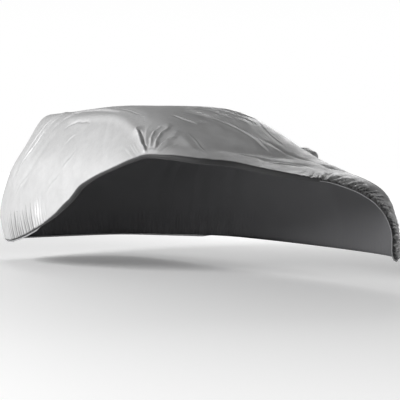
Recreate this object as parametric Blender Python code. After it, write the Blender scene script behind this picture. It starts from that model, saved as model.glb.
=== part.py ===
"""Fitted car cover, drawn back over its front right corner.

Metres, +Z up, +Y towards the tail, -X towards the right side.  The origin lies on the inner
face of the cloth, under the middle of the top.  Heights in the tables are above the ground.

The cloth follows seven closed key lines that lie one inside the other, from the spine on top
to the skirt at the bottom.  A place on it is a bearing and a drop: the bearing is in degrees
from the nose, positive round the right side and negative round the left, and the drop counts
key lines down from the spine.  Columns of the cloth run from the spine to the hem, numbered
from the nose (0) to the tail (COLUMNS) on each side, and rows run round it.
"""
from collections import namedtuple
from math import cos, pi, radians, sin

import bmesh
import bpy
import numpy as np

CLOTH = 0.002            # thickness of the coated cloth
SEAM_GAP = 0.0003        # left between pieces that are sewn together
TOP_HEIGHT = 1.415       # from the ground to the outer face above the origin
ELASTIC_HEIGHT = 0.012   # the elastic hem casing, flat against the body
ELASTIC_THICKNESS = 0.003

COLUMNS = 54             # on each side, from the nose to the tail
SEAM_ROW = 5             # row of the long seams beside the top
HEM_ROW = 16             # last row before the rolled edge
ROLL_STEPS = 3           # rows in the rolled edge
ROLL_TURN = 135.0        # degrees that the edge rolls inwards
GATHER_REACH = 0.25      # how far the pleats of a gathered hem run up the cloth

FRONT_SEAM = 14          # column where each side panel starts
TAIL_SEAM = 46           # column where it ends and the tail panel starts
REAR_GATHER = 30         # column where the gathered rear hem starts
NOSE_GATHER = (2, 18)    # columns of the gathered hem on the left front corner

Ring = namedtuple("Ring", "name half_width front_reach tail_reach front_square tail_square "
                          "front_height side_height tail_height girth")
RINGS = [
    Ring("spine", 0.000, 0.300, 0.750, 2.0, 2.0, 1.405, 1.415, 1.405, 0.00),
    Ring("crown", 0.505, 0.540, 1.275, 2.1, 3.8, 1.400, 1.400, 1.380, 0.50),
    Ring("rail", 0.610, 0.775, 1.475, 3.6, 4.0, 1.315, 1.330, 1.360, 0.65),
    Ring("belt", 0.845, 1.460, 1.600, 4.5, 3.5, 0.970, 0.975, 1.075, 1.10),
    Ring("shoulder", 0.895, 2.190, 1.880, 5.7, 3.7, 0.710, 0.780, 0.790, 1.40),
    Ring("flank", 0.920, 2.465, 1.905, 3.8, 4.6, 0.465, 0.550, 0.455, 1.65),
    Ring("skirt", 0.890, 2.445, 1.840, 4.4, 4.5, 0.230, 0.240, 0.195, 1.95),
]

# bearing at which a column leaves the spine, the same on both sides
Top = namedtuple("Top", "column bearing")
TOPS = [Top(0, 0), Top(14, 48), Top(30, 105), Top(46, 116), Top(54, 180)]

# drop of the long seam row, the same on both sides
Seam = namedtuple("Seam", "column drop")
SEAMS = [Seam(0, 1.90), Seam(14, 2.05), Seam(18, 1.45), Seam(23, 1.25), Seam(30, 1.65),
         Seam(38, 1.60), Seam(46, 1.45), Seam(54, 1.45)]

# the hem on each side: its bearing and drop, the radius of its roll and its pleats' height
Hem = namedtuple("Hem", "column bearing drop roll pleat")
RIGHT_HEM = [
    Hem(0, 0.0, 3.36, 0.025, 0.0),
    Hem(3, 9.0, 3.21, 0.025, 0.0),
    Hem(6, 19.0, 3.06, 0.025, 0.0),
    Hem(9, 33.0, 2.975, 0.025, 0.0),
    Hem(12, 43.0, 2.90, 0.022, 0.0),
    Hem(14, 50.0, 2.89, 0.018, 0.0),
    Hem(16, 56.5, 2.98, 0.018, 0.0),
    Hem(20, 70.0, 3.38, 0.016, 0.0),
    Hem(22, 78.0, 3.70, 0.018, 0.0),
    Hem(24, 84.5, 4.08, 0.022, 0.0),
    Hem(26, 90.0, 4.68, 0.025, 0.0),
    Hem(28, 96.5, 5.12, 0.020, 0.0),
    Hem(30, 105.0, 5.44, 0.012, 0.002),
    Hem(34, 110.0, 5.58, 0.012, 0.005),
    Hem(38, 116.5, 5.75, 0.012, 0.005),
    Hem(42, 122.0, 5.86, 0.012, 0.004),
    Hem(46, 127.5, 5.92, 0.012, 0.002),
    Hem(54, 180.0, 5.92, 0.012, 0.0),
]
LEFT_HEM = [
    Hem(0, 0.0, 3.36, 0.025, 0.0),
    Hem(2, 9.8, 3.52, 0.018, 0.0),
    Hem(4, 17.8, 3.65, 0.012, 0.003),
    Hem(6, 22.8, 3.84, 0.012, 0.003),
    Hem(7, 25.6, 4.02, 0.012, 0.003),
    Hem(8, 27.6, 4.30, 0.012, 0.003),
    Hem(9, 28.3, 4.62, 0.012, 0.003),
    Hem(10, 28.2, 4.97, 0.012, 0.003),
    Hem(11, 28.4, 5.32, 0.012, 0.003),
    Hem(12, 29.2, 5.66, 0.012, 0.003),
    Hem(13, 31.0, 5.87, 0.012, 0.003),
    Hem(14, 34.0, 5.92, 0.012, 0.002),
    Hem(18, 48.0, 5.92, 0.014, 0.0),
    Hem(24, 76.0, 5.90, 0.020, 0.0),
    Hem(30, 105.0, 5.92, 0.012, 0.002),
    Hem(38, 116.5, 5.92, 0.012, 0.005),
    Hem(46, 127.5, 5.92, 0.012, 0.002),
    Hem(54, 180.0, 5.92, 0.012, 0.0),
]

# main folds: (bearing, drop) places along each, its height (negative in) and half width
Fold = namedtuple("Fold", "name places height half_width")
FOLDS = [
    Fold("long slope ridge", [(14.5, 1.70), (1.2, 2.13), (-10.2, 2.46), (-16.8, 2.79)],
         0.014, 0.035),
    Fold("short slope ridge", [(31.0, 2.05), (18.5, 2.22)], 0.008, 0.035),
    Fold("upper slope ridge", [(-4.0, 1.10), (-22.5, 2.18)], 0.008, 0.035),
    Fold("low slope ridge", [(33.2, 2.56), (30.0, 2.95)], 0.010, 0.035),
    Fold("pinch ridge", [(52.5, 2.40), (51.5, 2.82)], 0.018, 0.032),
    Fold("pinch trough", [(49.5, 2.42), (49.5, 2.84)], -0.016, 0.028),
    Fold("first fan ridge", [(48.0, 2.80), (44.0, 2.55), (37.0, 2.30)], 0.012, 0.030),
    Fold("second fan ridge", [(46.0, 2.82), (40.5, 2.62), (34.5, 2.45)], 0.012, 0.030),
    Fold("deck crease", [(-1.2, 3.03), (-21.0, 3.19)], -0.008, 0.035),
    Fold("far deck crease", [(-31.8, 3.20), (-41.5, 3.41)], -0.008, 0.035),
    Fold("rail hump", [(103.0, 2.20), (94.0, 2.25)], 0.014, 0.045),
    Fold("tail seam ridge", [(119.0, 1.50), (118.0, 2.28), (118.5, 2.61), (120.8, 3.23),
                             (122.5, 4.16)], 0.010, 0.035),
    Fold("tail trough", [(112.0, 2.60), (113.5, 3.23), (116.0, 4.16)], -0.008, 0.045),
    Fold("tail flank wave", [(119.0, 4.30), (118.0, 5.20)], -0.010, 0.060),
    Fold("middle flank wave", [(103.0, 3.30), (105.0, 4.80)], -0.008, 0.070),
    Fold("front flank wave", [(84.0, 2.60), (86.0, 3.70)], -0.006, 0.070),
    Fold("left front wave", [(-62.0, 3.60), (-60.0, 5.40)], -0.010, 0.080),
    Fold("left middle wave", [(-88.0, 3.20), (-92.0, 5.20)], -0.010, 0.090),
    Fold("left tail wave", [(-112.0, 3.20), (-116.0, 5.20)], -0.010, 0.070),
    Fold("tail wave", [(160.0, 3.40), (158.0, 5.20)], -0.010, 0.090),
    Fold("left side bump", [(-61.0, 2.90), (-60.0, 3.02)], 0.095, 0.130),
]

CLOTH_COLOUR = (0.66, 0.67, 0.69, 1.0)
ELASTIC_COLOUR = (0.80, 0.80, 0.81, 1.0)


def spline(table, field, column):
    """Smooth reading of one table field at a column, through every row and never past it."""
    columns = np.array([row.column for row in table], float)
    values = np.array([getattr(row, field) for row in table], float)
    step = np.diff(columns)
    rates = np.diff(values) / step
    before, after = rates[:-1], rates[1:]
    same_way = before * after > 0
    inner = np.where(same_way, 2 * before * after / np.where(same_way, before + after, 1), 0)
    slopes = np.concatenate([rates[:1], inner, rates[-1:]])
    i = np.clip(np.searchsorted(columns, column, side="right") - 1, 0, len(step) - 1)
    u = (column - columns[i]) / step[i]
    start = (2 * u**3 - 3 * u**2 + 1) * values[i] + (u**3 - 2 * u**2 + u) * step[i] * slopes[i]
    end = (3 * u**2 - 2 * u**3) * values[i + 1] + (u**3 - u**2) * step[i] * slopes[i + 1]
    return start + end


def ring_point(ring, bearing):
    """Place on one key line at a bearing in degrees."""
    across, along = sin(radians(bearing)), cos(radians(bearing))
    front = along > 0
    square = ring.front_square if front else ring.tail_square
    reach = ring.front_reach if front else ring.tail_reach
    end_height = ring.front_height if front else ring.tail_height
    size = (abs(across)**square + abs(along)**square) ** (1 / square)
    share = abs(along) / size
    blend = share**2 * (3 - 2 * share)
    height = ring.side_height + (end_height - ring.side_height) * blend
    return np.array([-ring.half_width * across / size, -reach * along / size,
                     height - TOP_HEIGHT + CLOTH])


def cover_point(bearing, drop):
    """Place on the smooth outer face: a curve down through the key lines at one bearing."""
    line = [ring_point(ring, bearing) for ring in RINGS]
    over_spine = line[1] * (-1, 1, 1) + (0, 2 * (line[0][1] - line[1][1]), 0)
    line = [over_spine] + line + [2 * line[-1] - line[-2]]
    i = min(int(drop), len(RINGS) - 2)
    u = drop - i
    p0, p1, p2, p3 = line[i:i + 4]
    d01, d12, d23 = (max(np.linalg.norm(b - a), 1e-6) ** 0.5 for a, b in
                     ((p0, p1), (p1, p2), (p2, p3)))
    m1 = d12 * ((p1 - p0) / d01 - (p2 - p0) / (d01 + d12) + (p2 - p1) / d12)
    m2 = d12 * ((p2 - p1) / d12 - (p3 - p1) / (d12 + d23) + (p3 - p2) / d23)
    return ((2 * u**3 - 3 * u**2 + 1) * p1 + (u**3 - 2 * u**2 + u) * m1
            + (3 * u**2 - 2 * u**3) * p2 + (u**3 - u**2) * m2)


def unit(vectors):
    """Each vector at length 1."""
    return vectors / np.linalg.norm(vectors, axis=-1, keepdims=True)


def fold_height(point):
    """How far the main folds lift a point of the cloth along its normal."""
    lift = 0.0
    for fold in FOLDS:
        line = [cover_point(*place) for place in fold.places]
        nearest = min(distance_to_segment(point, a, b) for a, b in zip(line, line[1:]))
        lift += fold.height * np.exp(-(nearest / fold.half_width) ** 2)
    return lift


def distance_to_segment(point, start, end):
    """Distance from a point to a straight segment."""
    along = end - start
    share = np.clip(np.dot(point - start, along) / np.dot(along, along), 0, 1)
    return np.linalg.norm(point - start - share * along)


def column_side(k):
    """Side (+1 right, -1 left) and number from the nose of column k round the cover."""
    return (1, k) if k <= COLUMNS else (-1, 2 * COLUMNS - k)


def smooth_grid():
    """Outer face without folds: places [column, row], and each column's hem values."""
    girths = [ring.girth for ring in RINGS]
    drops = range(len(RINGS))
    places = np.zeros((2 * COLUMNS, HEM_ROW + 1, 3))
    above_hem = np.zeros((2 * COLUMNS, HEM_ROW + 1))
    rolls, pleats = np.zeros(2 * COLUMNS), np.zeros(2 * COLUMNS)
    for k in range(2 * COLUMNS):
        side, column = column_side(k)
        table = RIGHT_HEM if side > 0 else LEFT_HEM
        top, end = spline(TOPS, "bearing", column), spline(table, "bearing", column)
        rolls[k], pleats[k] = spline(table, "roll", column), spline(table, "pleat", column)
        end_drop = min(spline(table, "drop", column), len(RINGS) - 1)
        seam = np.interp(spline(SEAMS, "drop", column), drops, girths)
        hem = np.interp(end_drop, drops, girths)
        for row in range(HEM_ROW + 1):
            if row <= SEAM_ROW:
                girth = seam * row / SEAM_ROW
            else:
                girth = seam + (hem - seam) * (row - SEAM_ROW) / (HEM_ROW - SEAM_ROW)
            bearing = side * (top + (end - top) * (row / HEM_ROW) ** 2)
            places[k, row] = cover_point(bearing, np.interp(girth, girths, drops))
            above_hem[k, row] = hem - girth
    return places, above_hem, rolls, pleats


def grid_normals(places):
    """Outward normal at every place of a grid that closes round the cover."""
    total = np.zeros_like(places)
    around = np.roll(places, -1, axis=0)
    face = np.cross(around[:, 1:] - places[:, :-1], places[:, 1:] - around[:, :-1])
    for shift in (0, 1):
        shifted = np.roll(face, shift, axis=0)
        total[:, :-1] += shifted
        total[:, 1:] += shifted
    mirrored = total[(-np.arange(2 * COLUMNS)) % (2 * COLUMNS), 0]
    total[:, 0] += mirrored
    return unit(total)


def hem_frame(places, normals):
    """Direction in which each column of the smooth cloth would run on past the hem."""
    hem = places[:, HEM_ROW]
    along = unit(np.roll(hem, -1, axis=0) - np.roll(hem, 1, axis=0))
    onward = unit(np.cross(along, normals[:, HEM_ROW]))
    downhill = np.sum(onward * (hem - places[:, HEM_ROW - 1]), axis=1)
    return onward * np.sign(downhill)[:, None]


def cloth_grid():
    """Outer face of the whole cover with its folds, pleats and rolled edge."""
    smooth, above_hem, rolls, pleats = smooth_grid()
    normals = grid_normals(smooth)
    onward = hem_frame(smooth, normals)
    lifts = np.array([[fold_height(place) for place in column] for column in smooth])
    alternate = np.where(np.arange(2 * COLUMNS) % 2, 1, -1)
    reach = np.clip(1 - above_hem / GATHER_REACH, 0, 1)
    lifts += alternate[:, None] * pleats[:, None] * reach
    folded = smooth + lifts[:, :, None] * normals
    rows = [folded]
    for step in range(1, ROLL_STEPS + 1):
        angle = radians(ROLL_TURN) * step / ROLL_STEPS
        out, back = rolls * sin(angle), rolls * (1 - cos(angle))
        lift = lifts[:, HEM_ROW] * max(0, 1 - 2 * angle / pi)
        edge = (smooth[:, HEM_ROW] + out[:, None] * onward
                + (lift - back)[:, None] * normals[:, HEM_ROW])
        rows.append(edge[:, None])
    return np.concatenate(rows, axis=1), smooth[:, HEM_ROW], normals[:, HEM_ROW], onward, rolls


def edges_of(faces):
    """Edges of the faces, each in its direction round its face."""
    return {edge for face in faces for edge in zip(face, face[1:] + face[:1])}


def seam_insets(own_faces, other_faces, places, normals):
    """Half the seam gap, inwards, at each place where a panel is sewn to another one."""
    others = edges_of(other_faces)
    steps = {}
    for start, end in sorted(edges_of(own_faces)):
        if (end, start) in others:
            step = unit(places[end] - places[start])
            steps.setdefault(start, []).append(step)
            steps.setdefault(end, []).append(step)
    insets = {}
    for key, around in steps.items():
        along = unit(sum(around))
        miter = 1 / np.dot(along, around[0])
        insets[key] = SEAM_GAP / 2 * miter * unit(np.cross(normals[key], along))
    return insets


def material(name, colour, roughness):
    """Principled material of one colour."""
    made = bpy.data.materials.new(name)
    made.use_nodes = True
    shader = made.node_tree.nodes["Principled BSDF"]
    shader.inputs["Base Color"].default_value = colour
    shader.inputs["Roughness"].default_value = roughness
    shader.inputs["Metallic"].default_value = 0.0
    return made


def sheet_object(name, faces, places, normals, thickness, look):
    """Closed sheet: its outer faces, extruded inwards by its thickness."""
    mesh_work = bmesh.new()
    tag = mesh_work.verts.layers.int.new("place")
    keys = sorted({key for face in faces for key in face})
    verts = {}
    for number, key in enumerate(keys):
        verts[key] = mesh_work.verts.new(places[key])
        verts[key][tag] = number
    for face in faces:
        mesh_work.faces.new([verts[key] for key in face])
    made = bmesh.ops.extrude_face_region(mesh_work, geom=mesh_work.faces[:],
                                         use_keep_orig=True)
    for item in made["geom"]:
        if isinstance(item, bmesh.types.BMVert):
            normal = normals[keys[item[tag]]]
            item.co = [value - thickness * part for value, part in zip(item.co, normal)]
    bmesh.ops.recalc_face_normals(mesh_work, faces=mesh_work.faces[:])
    mesh = bpy.data.meshes.new(name)
    mesh_work.to_mesh(mesh)
    mesh_work.free()
    mesh.shade_smooth()
    mesh.set_sharp_from_angle(angle=radians(60))
    mesh.materials.append(look)
    made_object = bpy.data.objects.new(name, mesh)
    bpy.context.scene.collection.objects.link(made_object)
    return made_object


def grid_key(k, row):
    """Key of a grid place; the two sides share their places along the spine."""
    k %= 2 * COLUMNS
    return (min(k, 2 * COLUMNS - k), 0) if row == 0 else (k, row)


def panel_of(k, row):
    """Name of the panel that the face between columns k, k + 1 and rows row, row + 1 is on."""
    if row >= SEAM_ROW and FRONT_SEAM <= k < TAIL_SEAM:
        return "right_side_panel"
    if row >= SEAM_ROW and TAIL_SEAM <= k < 2 * COLUMNS - TAIL_SEAM:
        return "tail_panel"
    if row >= SEAM_ROW and 2 * COLUMNS - TAIL_SEAM <= k < 2 * COLUMNS - FRONT_SEAM:
        return "left_side_panel"
    return "centre_panel"


def make_panels(grid, look):
    """The four panels, drawn apart along their seams."""
    normals = grid_normals(grid)
    places_at = {(k, row): grid[k, row] for k in range(2 * COLUMNS) for row in
                 range(grid.shape[1])}
    faces = {}
    for k in range(2 * COLUMNS):
        for row in range(grid.shape[1] - 1):
            corners = [(k, row), (k + 1, row), (k + 1, row + 1), (k, row + 1)]
            own_faces = faces.setdefault(panel_of(k, row), [])
            own_faces.append([grid_key(*corner) for corner in corners])
    for name, own_faces in faces.items():
        other_faces = [face for other in faces if other != name for face in faces[other]]
        own = dict(places_at)
        for key, inset in seam_insets(own_faces, other_faces, own, normals).items():
            own[key] = places_at[key] + inset
        sheet_object(name, own_faces, own, normals, CLOTH, look)


def make_elastic(name, first, last, hem, normals, onward, rolls, look):
    """Flat elastic casing that follows the rolled hem from one column to another."""
    places, facing, faces = {}, {}, []
    for k in range(first, last + 1):
        side = k % (2 * COLUMNS)
        under_roll = hem[side] + (rolls[side] + SEAM_GAP) * onward[side]
        face = under_roll + (ELASTIC_THICKNESS / 2 - rolls[side]) * normals[side]
        places[k, 0] = face
        places[k, 1] = face + ELASTIC_HEIGHT * onward[side]
        facing[k, 0] = facing[k, 1] = normals[side]
    for k in range(first, last):
        faces.append([(k, 0), (k + 1, 0), (k + 1, 1), (k, 1)])
    sheet_object(name, faces, places, facing, ELASTIC_THICKNESS, look)


def main():
    for old in list(bpy.data.objects):
        bpy.data.objects.remove(old)
    cloth = material("coated cloth", CLOTH_COLOUR, 0.5)
    elastic = material("elastic", ELASTIC_COLOUR, 0.7)
    grid, hem, normals, onward, rolls = cloth_grid()
    make_panels(grid, cloth)
    make_elastic("rear_elastic", REAR_GATHER, 2 * COLUMNS - REAR_GATHER, hem, normals, onward,
                 rolls, elastic)
    make_elastic("front_elastic", 2 * COLUMNS - NOSE_GATHER[1], 2 * COLUMNS - NOSE_GATHER[0],
                 hem, normals, onward, rolls, elastic)


if __name__ == "__main__":
    main()
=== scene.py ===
"""Fitted cover in silver coated cloth, drawn back over its front right corner.

The cloth follows the same key lines as the CAD part: closed lines that lie one inside the
other, from the spine on top to the skirt at the bottom.  A place on it is a bearing and a drop.
The bearing is in degrees from the nose, positive round the right side and negative round the
left.  The drop counts key lines down from the spine.  Each panel starts as a flat grid whose
corners are column and row numbers, and is then draped over the key lines.
"""
from collections import namedtuple
from math import pi

import bmesh
import bpy
import numpy as np
from bpy.props import FloatProperty, FloatVectorProperty, PointerProperty
from mathutils import Euler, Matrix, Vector
from mathutils.kdtree import KDTree


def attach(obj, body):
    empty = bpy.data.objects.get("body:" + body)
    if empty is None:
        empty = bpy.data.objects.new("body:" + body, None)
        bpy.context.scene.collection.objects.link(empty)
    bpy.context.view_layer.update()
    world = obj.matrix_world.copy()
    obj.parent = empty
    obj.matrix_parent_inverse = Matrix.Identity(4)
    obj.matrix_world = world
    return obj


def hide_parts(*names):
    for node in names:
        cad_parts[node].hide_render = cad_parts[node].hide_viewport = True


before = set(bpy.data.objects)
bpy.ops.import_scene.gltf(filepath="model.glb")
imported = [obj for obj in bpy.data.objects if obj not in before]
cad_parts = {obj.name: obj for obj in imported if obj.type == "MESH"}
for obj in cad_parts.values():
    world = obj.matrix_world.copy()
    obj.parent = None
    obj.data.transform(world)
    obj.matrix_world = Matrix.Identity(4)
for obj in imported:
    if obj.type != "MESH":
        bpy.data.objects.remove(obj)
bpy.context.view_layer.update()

bl_info = {
    "name": "Fitted cover",
    "version": (1, 0, 0),
    "blender": (4, 5, 0),
    "location": "View3D > Sidebar > Cover",
    "description": "Drapes a fitted cover over its key lines and sets it on a studio floor",
    "category": "Object",
}

TOP_HEIGHT = 1.415       # from the ground to the outer face above the origin
GROUND = -1.413          # height of the floor in the part's frame
CAD_CLOTH = 0.002        # thickness of the cloth in the CAD part
COLUMNS = 54             # on each side, from the nose to the tail
ALL_COLUMNS = 2 * COLUMNS
SEAM_ROW = 5             # row of the long seams beside the top
HEM_ROW = 16             # last row before the rolled edge
ROLL_TURN = 135.0        # degrees that the edge rolls inwards, in one row
FRONT_SEAM = 14          # column where each side panel starts
TAIL_SEAM = 46           # column where it ends and the tail panel starts
REAR_GATHER = 30         # column where the gathered rear hem starts
NOSE_GATHER = (2, 18)    # columns of the gathered hem on the left front corner

Ring = namedtuple("Ring", "name half_width front_reach tail_reach front_square tail_square "
                          "front_height side_height tail_height girth")
RINGS = [
    Ring("spine", 0.000, 0.300, 0.750, 2.0, 2.0, 1.405, 1.415, 1.405, 0.00),
    Ring("crown", 0.505, 0.540, 1.275, 2.1, 3.8, 1.400, 1.400, 1.380, 0.50),
    Ring("rail", 0.610, 0.775, 1.475, 3.6, 4.0, 1.315, 1.330, 1.360, 0.65),
    Ring("belt", 0.845, 1.460, 1.600, 4.5, 3.5, 0.970, 0.975, 1.075, 1.10),
    Ring("shoulder", 0.895, 2.190, 1.880, 5.7, 3.7, 0.710, 0.780, 0.790, 1.40),
    Ring("flank", 0.920, 2.465, 1.905, 3.8, 4.6, 0.465, 0.550, 0.455, 1.65),
    Ring("skirt", 0.890, 2.445, 1.840, 4.4, 4.5, 0.230, 0.240, 0.195, 1.95),
]
BELT = RINGS[3]
GIRTHS = [ring.girth for ring in RINGS]
DROPS = range(len(RINGS))

# bearing at which a column leaves the spine, the same on both sides
Top = namedtuple("Top", "column bearing")
TOPS = [Top(0, 0), Top(14, 48), Top(30, 105), Top(46, 116), Top(54, 180)]

# drop of the long seam row, the same on both sides
Seam = namedtuple("Seam", "column drop")
SEAMS = [Seam(0, 1.90), Seam(14, 2.05), Seam(18, 1.45), Seam(23, 1.25), Seam(30, 1.65),
         Seam(38, 1.60), Seam(46, 1.45), Seam(54, 1.45)]

# the hem on each side: its bearing and drop, the radius of its roll, and how high its pleats
# and its close ruffles stand
Hem = namedtuple("Hem", "column bearing drop roll pleat ruffle")
RIGHT_HEM = [
    Hem(0, 0.0, 3.36, 0.025, 0.0, 0.0),
    Hem(3, 9.0, 3.21, 0.025, 0.0, 0.0),
    Hem(6, 19.0, 3.06, 0.025, 0.0, 0.0),
    Hem(9, 33.0, 2.975, 0.025, 0.0, 0.0),
    Hem(12, 43.0, 2.90, 0.022, 0.0, 0.0),
    Hem(14, 50.0, 2.89, 0.018, 0.0, 0.0),
    Hem(16, 56.5, 2.98, 0.018, 0.0, 0.0),
    Hem(20, 70.0, 3.38, 0.016, 0.0, 0.0),
    Hem(22, 78.0, 3.70, 0.018, 0.0, 0.0),
    Hem(24, 84.5, 4.08, 0.022, 0.0, 0.0),
    Hem(26, 90.0, 4.68, 0.025, 0.0, 0.0),
    Hem(28, 96.5, 5.12, 0.020, 0.0, 0.0),
    Hem(30, 105.0, 5.44, 0.012, 0.008, 0.0),
    Hem(34, 110.0, 5.58, 0.012, 0.013, 0.0),
    Hem(38, 116.5, 5.75, 0.012, 0.014, 0.0),
    Hem(42, 122.0, 5.86, 0.012, 0.012, 0.0),
    Hem(46, 127.5, 5.92, 0.012, 0.008, 0.0),
    Hem(54, 180.0, 5.92, 0.012, 0.007, 0.0),
]
LEFT_HEM = [
    Hem(0, 0.0, 3.36, 0.025, 0.0, 0.0),
    Hem(2, 9.8, 3.52, 0.018, 0.0, 0.003),
    Hem(4, 17.8, 3.65, 0.012, 0.0, 0.010),
    Hem(6, 22.8, 3.84, 0.012, 0.0, 0.014),
    Hem(7, 25.6, 4.02, 0.012, 0.0, 0.014),
    Hem(8, 27.6, 4.30, 0.012, 0.0, 0.014),
    Hem(9, 28.3, 4.62, 0.012, 0.0, 0.014),
    Hem(10, 28.2, 4.97, 0.012, 0.0, 0.014),
    Hem(11, 28.4, 5.32, 0.012, 0.0, 0.014),
    Hem(12, 29.2, 5.66, 0.012, 0.0, 0.014),
    Hem(13, 31.0, 5.87, 0.012, 0.0, 0.011),
    Hem(14, 34.0, 5.92, 0.012, 0.0, 0.008),
    Hem(18, 48.0, 5.92, 0.014, 0.003, 0.0),
    Hem(24, 76.0, 5.90, 0.020, 0.001, 0.0),
    Hem(30, 105.0, 5.92, 0.012, 0.006, 0.0),
    Hem(38, 116.5, 5.92, 0.012, 0.009, 0.0),
    Hem(46, 127.5, 5.92, 0.012, 0.006, 0.0),
    Hem(54, 180.0, 5.92, 0.012, 0.006, 0.0),
]

# broad folds, as in the CAD part: (bearing, drop) places, height (negative in), half width,
# and how firm the sides are
Swell = namedtuple("Swell", "name places height half_width firmness", defaults=(2,))
SWELLS = [
    Swell("long slope ridge", [(14.5, 1.70), (1.2, 2.13), (-10.2, 2.46), (-16.8, 2.79)],
          0.008, 0.035),
    Swell("short slope ridge", [(31.0, 2.05), (18.5, 2.22)], 0.005, 0.035),
    Swell("upper slope ridge", [(-4.0, 1.10), (-22.5, 2.18)], 0.006, 0.035),
    Swell("low slope ridge", [(33.2, 2.56), (30.0, 2.95)], 0.005, 0.035),
    Swell("pinch ridge", [(52.5, 2.40), (51.5, 2.82)], 0.009, 0.030),
    Swell("first fan ridge", [(48.0, 2.80), (44.0, 2.55), (37.0, 2.30)], 0.008, 0.030),
    Swell("second fan ridge", [(46.0, 2.82), (40.5, 2.62), (34.5, 2.45)], 0.008, 0.030),
    Swell("deck crease", [(-1.2, 3.03), (-21.0, 3.19)], -0.008, 0.035),
    Swell("far deck crease", [(-31.8, 3.20), (-41.5, 3.41)], -0.008, 0.035),
    Swell("rail hump", [(103.0, 2.20), (94.0, 2.25)], 0.003, 0.045),
    Swell("tail seam ridge", [(119.0, 1.50), (118.0, 2.28), (118.5, 2.61), (120.8, 3.23),
                              (122.5, 4.16)], 0.008, 0.035),
    Swell("tail trough", [(112.0, 2.60), (113.5, 3.23), (116.0, 4.16)], -0.008, 0.045),
    Swell("tail flank wave", [(119.0, 4.30), (118.0, 5.20)], -0.010, 0.060),
    Swell("middle flank wave", [(103.0, 3.30), (105.0, 4.80)], -0.008, 0.070),
    Swell("front flank wave", [(84.0, 2.60), (86.0, 3.70)], -0.006, 0.070),
    Swell("left front wave", [(-62.0, 3.60), (-60.0, 5.40)], -0.010, 0.080),
    Swell("left middle wave", [(-88.0, 3.20), (-92.0, 5.20)], -0.010, 0.090),
    Swell("left tail wave", [(-112.0, 3.20), (-116.0, 5.20)], -0.010, 0.070),
    Swell("tail wave", [(160.0, 3.40), (158.0, 5.20)], -0.010, 0.090),
    Swell("left side bump", [(-57.0, 2.98), (-56.2, 3.08)], 0.108, 0.078, 2.5),
    Swell("near top edge", [(106.0, 2.10), (96.8, 2.03), (75.5, 2.04), (67.0, 2.08),
                            (59.8, 2.19), (55.0, 2.33), (52.5, 2.45)], 0.011, 0.047),
    Swell("foot of the slope", [(38.0, 2.68), (20.0, 2.77), (5.0, 2.84), (-8.0, 2.91),
                                (-17.0, 2.96)], -0.010, 0.065),
    Swell("far edge of the slope", [(-44.0, 1.50), (-46.0, 1.90), (-46.0, 2.20),
                                    (-44.0, 2.45), (-41.0, 2.62)], 0.004, 0.050),
]

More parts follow.
